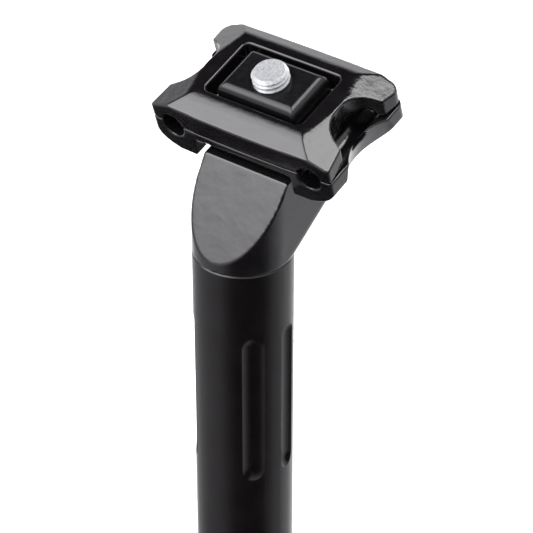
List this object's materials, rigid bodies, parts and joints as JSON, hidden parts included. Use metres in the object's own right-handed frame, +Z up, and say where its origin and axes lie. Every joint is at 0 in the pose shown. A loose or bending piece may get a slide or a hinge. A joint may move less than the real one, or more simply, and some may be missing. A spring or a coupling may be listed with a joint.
{
  "type": "suspension seatpost",
  "caption": "Telescopic coil-spring seatpost: fluted slider in a black outer shank, collar nut and keyed bushings, cast head and a tilting single-bolt clamp for two saddle rails.",
  "frame": {"origin": "on the post's axis at the underside of the collar, where the 31.6 mm shank begins", "axes": "+Z up the post towards the saddle, +X to the rider's side, -Y to the front"},
  "size_m": [0.0576, 0.0536, 0.3701],
  "materials": {
    "anodised_black": "satin black anodised",
    "collar_black": "satin black anodised, turned",
    "black_paint": "gloss black paint over a casting",
    "zinc_steel": "bright zinc plate",
    "black_oxide": "oiled black oxide",
    "spring_steel": "drawn and shot-peened wire",
    "acetal_black": "machined acetal",
    "acetal_white": "moulded acetal",
    "nitrile": "matt nitrile rubber",
    "urethane": "cast amber urethane",
    "key_steel": "ground",
    "plain_aluminium": "turned, bare"
  },
  "bodies": {
    "frame_tube": {"lower_tube": "anodised_black", "collar_nut": "collar_black", "wiper_seal": "nitrile", "upper_bushing": "acetal_white", "guide_keys": "key_steel", "bottom_out_bumper": "urethane"},
    "slider": {"slider_tube": "anodised_black", "head": "black_paint", "upper_spring_seat": "acetal_black", "spring_guide": "acetal_black", "lower_bushing": "acetal_white", "foot_clip": "spring_steel", "top_out_bumper": "urethane"},
    "cradle": {"lower_clamp": "black_paint", "curved_washer": "plain_aluminium", "bolt_washer": "zinc_steel"},
    "clamp_top": {"upper_clamp": "black_paint", "nut_block": "black_oxide"},
    "bolt": {"clamp_bolt": "zinc_steel"},
    "spring_stack": {"lower_spring_seat": "acetal_black", "main_spring": "spring_steel"},
    "preload": {"preload_screw": "plain_aluminium"}
  },
  "joints": [
    {"name": "suspension_travel", "type": "slide", "parent": "frame_tube", "child": "slider", "axis": [0, 0, -1], "range_m": [0, 0.04], "stiffness_N_per_m": 20000, "springref_m": -0.006, "deforming": ["main_spring"]},
    {"name": "saddle_tilt", "type": "hinge", "parent": "slider", "child": "cradle", "pos_m": [0, 0.01312, 0.17299], "axis": [1, 0, 0], "range_deg": [-10, 10]},
    {"name": "clamp_bolt_turn", "type": "hinge", "parent": "cradle", "child": "bolt", "pos_m": [0, 0.0152, 0.1662], "axis": [0, 0.2924, -0.9563], "range_deg": [-73, 1801]},
    {"name": "upper_clamp_lift", "type": "slide", "parent": "cradle", "child": "clamp_top", "axis": [0, -0.2924, 0.9563], "range_m": [-0.0003, 0.0075]},
    {"name": "preload_screw_turn", "type": "hinge", "parent": "spring_stack", "child": "preload", "pos_m": [0, 0, -0.179], "axis": [0, 0, 1], "range_deg": [-1, 1921]},
    {"name": "spring_preload", "type": "slide", "parent": "frame_tube", "child": "spring_stack", "axis": [0, 0, 1], "range_m": [0, 0.008]}
  ],
  "couplings": [
    {"joint": "clamp_bolt_turn", "follows": "upper_clamp_lift", "rad_per_m": 4188.8},
    {"joint": "preload_screw_turn", "follows": "spring_preload", "rad_per_m": 4188.8}
  ]
}
